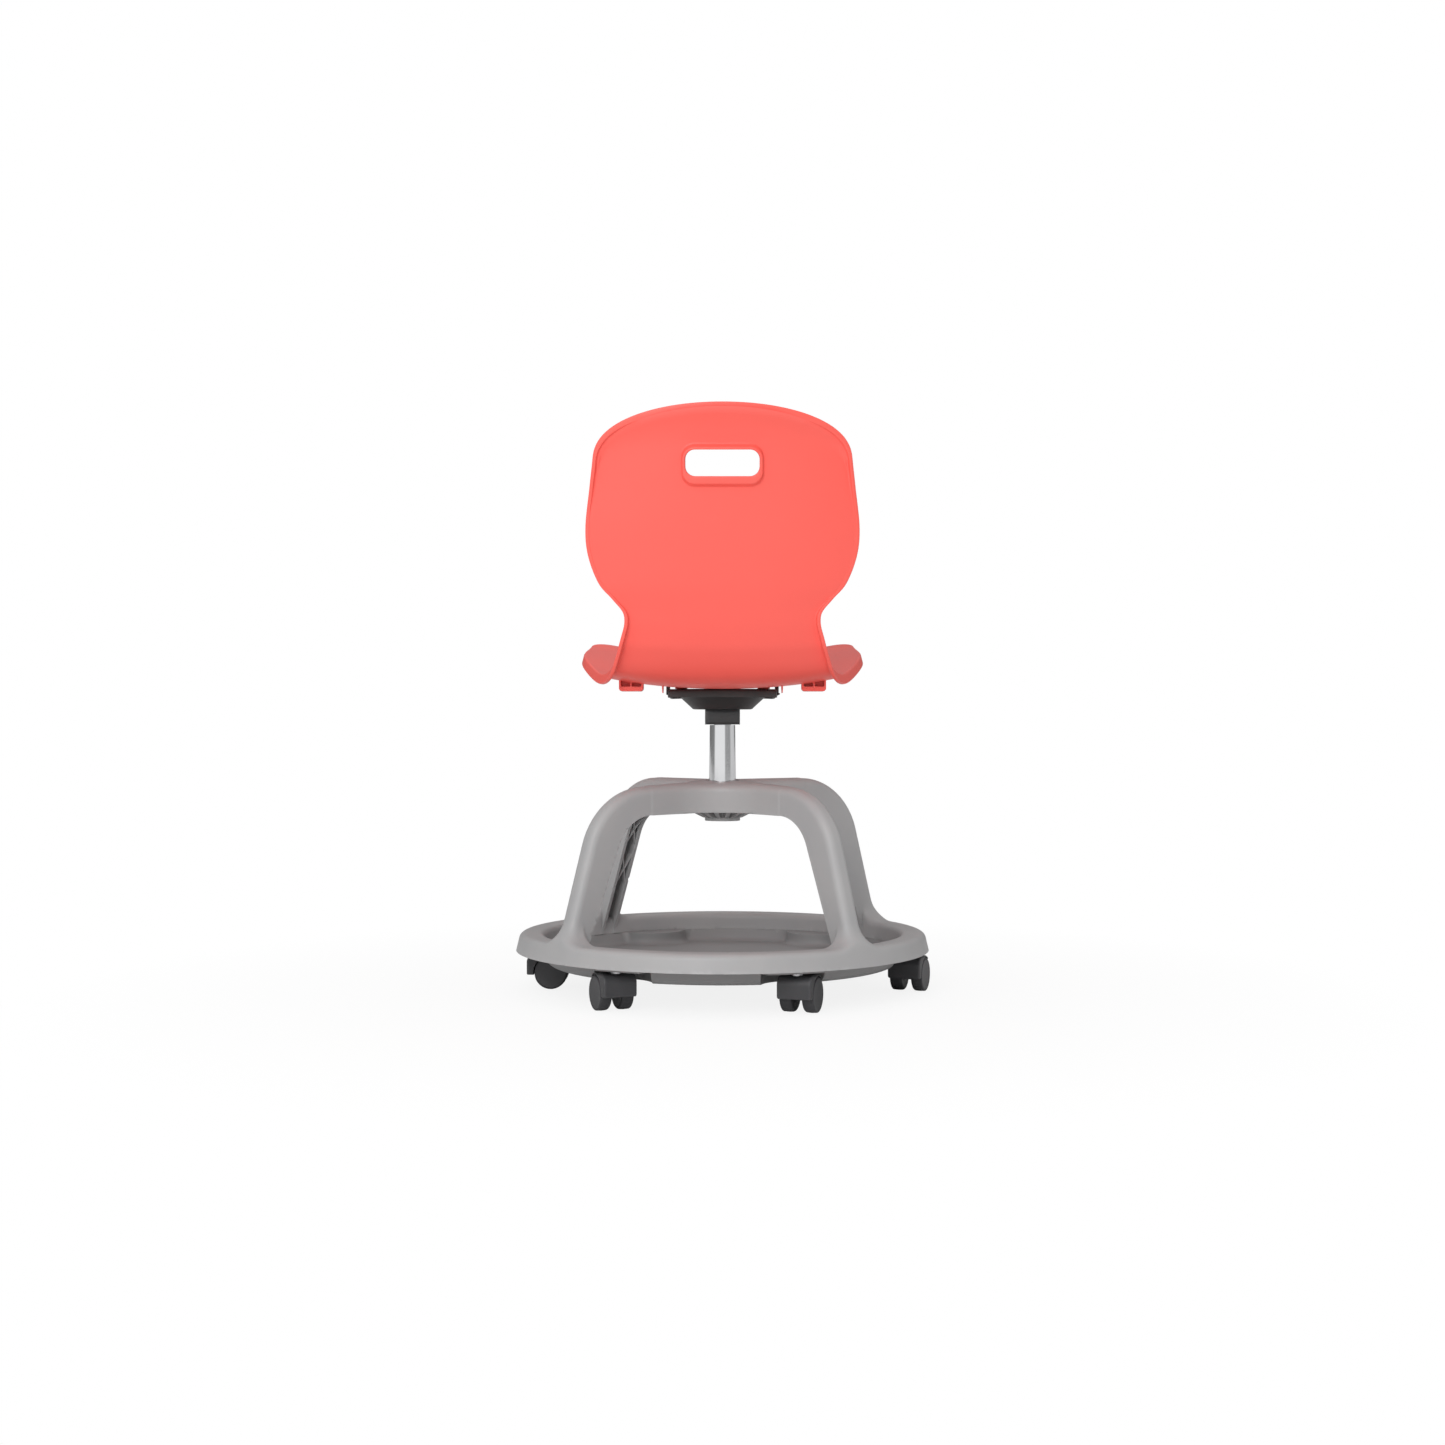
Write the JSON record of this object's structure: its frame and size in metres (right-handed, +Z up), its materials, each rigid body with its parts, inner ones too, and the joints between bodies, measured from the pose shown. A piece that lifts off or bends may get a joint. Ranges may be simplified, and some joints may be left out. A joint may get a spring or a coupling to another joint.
{
  "type": "swivel classroom chair with storage base",
  "caption": "One-piece moulded seat shell with a hand hole, turning on a fixed-height chrome column over an arched four-leg frame, a round storage tray and twin-wheel castors.",
  "frame": {"origin": "on the floor, on the axis of the column", "axes": "+Z up; the sitter faces -Y, the backrest is on the +Y side, +X is the sitter's left"},
  "size_m": [0.6021, 0.5998, 0.8161],
  "materials": {
    "frame_grey": "fine spark-eroded texture, light grey moulded nylon",
    "tray_grey": "fine texture, light grey moulded polypropylene",
    "shell_coral": "fine satin texture, coral red polypropylene",
    "column_chrome": "polished chrome plate",
    "block_black": "black powder coat",
    "plate_black": "black powder coat",
    "zinc_steel": "zinc plated",
    "bearing_steel": "ground steel",
    "bush_acetal": "natural acetal",
    "sleeve_black": "black nylon",
    "hood_black": "dark grey nylon with a fine texture",
    "wheel_grey": "dark grey nylon, slightly worn tread"
  },
  "bodies": {
    "base": {"base_frame": "frame_grey", "storage_tray": "tray_grey", "tray_screws": "zinc_steel", "hub_sleeve": "zinc_steel", "column_tube": "column_chrome", "column_foot": "zinc_steel", "lower_race": "bearing_steel", "thrust_balls": "bearing_steel", "lower_bush": "bush_acetal", "upper_bush": "bush_acetal", "castor_rear_left_sleeve": "sleeve_black", "castor_rear_right_sleeve": "sleeve_black", "castor_left_sleeve": "sleeve_black", "castor_right_sleeve": "sleeve_black", "castor_front_left_sleeve": "sleeve_black", "castor_front_right_sleeve": "sleeve_black"},
    "seat": {"upper_race": "bearing_steel", "spindle": "bearing_steel", "spindle_clip": "zinc_steel", "socket_block": "block_black", "seat_pan": "plate_black", "seat_plate": "plate_black", "seat_screws": "zinc_steel", "seat_shell": "shell_coral"},
    "castor_rear_left_swivel": {"castor_rear_left_stem": "zinc_steel", "castor_rear_left_hood": "hood_black", "castor_rear_left_axle": "zinc_steel"},
    "castor_rear_left_wheel_inner": {"castor_rear_left_wheel_inner": "wheel_grey"},
    "castor_rear_left_wheel_outer": {"castor_rear_left_wheel_outer": "wheel_grey"},
    "castor_rear_right_swivel": {"castor_rear_right_stem": "zinc_steel", "castor_rear_right_hood": "hood_black", "castor_rear_right_axle": "zinc_steel"},
    "castor_rear_right_wheel_inner": {"castor_rear_right_wheel_inner": "wheel_grey"},
    "castor_rear_right_wheel_outer": {"castor_rear_right_wheel_outer": "wheel_grey"},
    "castor_left_swivel": {"castor_left_stem": "zinc_steel", "castor_left_hood": "hood_black", "castor_left_axle": "zinc_steel"},
    "castor_left_wheel_inner": {"castor_left_wheel_inner": "wheel_grey"},
    "castor_left_wheel_outer": {"castor_left_wheel_outer": "wheel_grey"},
    "castor_right_swivel": {"castor_right_stem": "zinc_steel", "castor_right_hood": "hood_black", "castor_right_axle": "zinc_steel"},
    "castor_right_wheel_inner": {"castor_right_wheel_inner": "wheel_grey"},
    "castor_right_wheel_outer": {"castor_right_wheel_outer": "wheel_grey"},
    "castor_front_left_swivel": {"castor_front_left_stem": "zinc_steel", "castor_front_left_hood": "hood_black", "castor_front_left_axle": "zinc_steel"},
    "castor_front_left_wheel_inner": {"castor_front_left_wheel_inner": "wheel_grey"},
    "castor_front_left_wheel_outer": {"castor_front_left_wheel_outer": "wheel_grey"},
    "castor_front_right_swivel": {"castor_front_right_stem": "zinc_steel", "castor_front_right_hood": "hood_black", "castor_front_right_axle": "zinc_steel"},
    "castor_front_right_wheel_inner": {"castor_front_right_wheel_inner": "wheel_grey"},
    "castor_front_right_wheel_outer": {"castor_front_right_wheel_outer": "wheel_grey"}
  },
  "joints": [
    {"name": "seat_swivel", "type": "hinge", "parent": "base", "child": "seat", "pos_m": [0, 0, 0.385], "axis": [0, 0, 1], "continuous": true},
    {"name": "castor_rear_left_turn", "type": "hinge", "parent": "base", "child": "castor_rear_left_swivel", "pos_m": [0.14281, 0.22678, 0.0515], "axis": [0, 0, 1], "continuous": true},
    {"name": "castor_rear_left_wheel_inner_spin", "type": "hinge", "parent": "castor_rear_left_swivel", "child": "castor_rear_left_wheel_inner", "pos_m": [0.15013, 0.21034, 0.024], "axis": [0.9135, 0.4067, 0], "continuous": true},
    {"name": "castor_rear_left_wheel_outer_spin", "type": "hinge", "parent": "castor_rear_left_swivel", "child": "castor_rear_left_wheel_outer", "pos_m": [0.15013, 0.21034, 0.024], "axis": [0.9135, 0.4067, 0], "continuous": true},
    {"name": "castor_rear_right_turn", "type": "hinge", "parent": "base", "child": "castor_rear_right_swivel", "pos_m": [-0.09953, 0.24883, 0.0515], "axis": [0, 0, 1], "continuous": true},
    {"name": "castor_rear_right_wheel_inner_spin", "type": "hinge", "parent": "castor_rear_right_swivel", "child": "castor_rear_right_wheel_inner", "pos_m": [-0.10568, 0.23192, 0.024], "axis": [0.9397, -0.342, 0], "continuous": true},
    {"name": "castor_rear_right_wheel_outer_spin", "type": "hinge", "parent": "castor_rear_right_swivel", "child": "castor_rear_right_wheel_outer", "pos_m": [-0.10568, 0.23192, 0.024], "axis": [0.9397, -0.342, 0], "continuous": true},
    {"name": "castor_left_turn", "type": "hinge", "parent": "base", "child": "castor_left_swivel", "pos_m": [0.2678, -0.01029, 0.0515], "axis": [0, 0, 1], "continuous": true},
    {"name": "castor_left_wheel_inner_spin", "type": "hinge", "parent": "castor_left_swivel", "child": "castor_left_wheel_inner", "pos_m": [0.2498, -0.01029, 0.024], "axis": [0, -1, 0], "continuous": true},
    {"name": "castor_left_wheel_outer_spin", "type": "hinge", "parent": "castor_left_swivel", "child": "castor_left_wheel_outer", "pos_m": [0.2498, -0.01029, 0.024], "axis": [0, -1, 0], "continuous": true},
    {"name": "castor_right_turn", "type": "hinge", "parent": "base", "child": "castor_right_swivel", "pos_m": [-0.26526, 0.03823, 0.0515], "axis": [0, 0, 1], "continuous": true},
    {"name": "castor_right_wheel_inner_spin", "type": "hinge", "parent": "castor_right_swivel", "child": "castor_right_wheel_inner", "pos_m": [-0.27171, 0.02142, 0.024], "axis": [0.9336, -0.3584, 0], "continuous": true},
    {"name": "castor_right_wheel_outer_spin", "type": "hinge", "parent": "castor_right_swivel", "child": "castor_right_wheel_outer", "pos_m": [-0.27171, 0.02142, 0.024], "axis": [0.9336, -0.3584, 0], "continuous": true},
    {"name": "castor_front_left_turn", "type": "hinge", "parent": "base", "child": "castor_front_left_swivel", "pos_m": [0.11241, -0.24328, 0.0515], "axis": [0, 0, 1], "continuous": true},
    {"name": "castor_front_left_wheel_inner_spin", "type": "hinge", "parent": "castor_front_left_swivel", "child": "castor_front_left_wheel_inner", "pos_m": [0.10287, -0.22802, 0.024], "axis": [-0.848, -0.5299, 0], "continuous": true},
    {"name": "castor_front_left_wheel_outer_spin", "type": "hinge", "parent": "castor_front_left_swivel", "child": "castor_front_left_wheel_outer", "pos_m": [0.10287, -0.22802, 0.024], "axis": [-0.848, -0.5299, 0], "continuous": true},
    {"name": "castor_front_right_turn", "type": "hinge", "parent": "base", "child": "castor_front_right_swivel", "pos_m": [-0.15448, -0.21899, 0.0515], "axis": [0, 0, 1], "continuous": true},
    {"name": "castor_front_right_wheel_inner_spin", "type": "hinge", "parent": "castor_front_right_swivel", "child": "castor_front_right_wheel_inner", "pos_m": [-0.14291, -0.20521, 0.024], "axis": [-0.766, 0.6428, 0], "continuous": true},
    {"name": "castor_front_right_wheel_outer_spin", "type": "hinge", "parent": "castor_front_right_swivel", "child": "castor_front_right_wheel_outer", "pos_m": [-0.14291, -0.20521, 0.024], "axis": [-0.766, 0.6428, 0], "continuous": true}
  ]
}
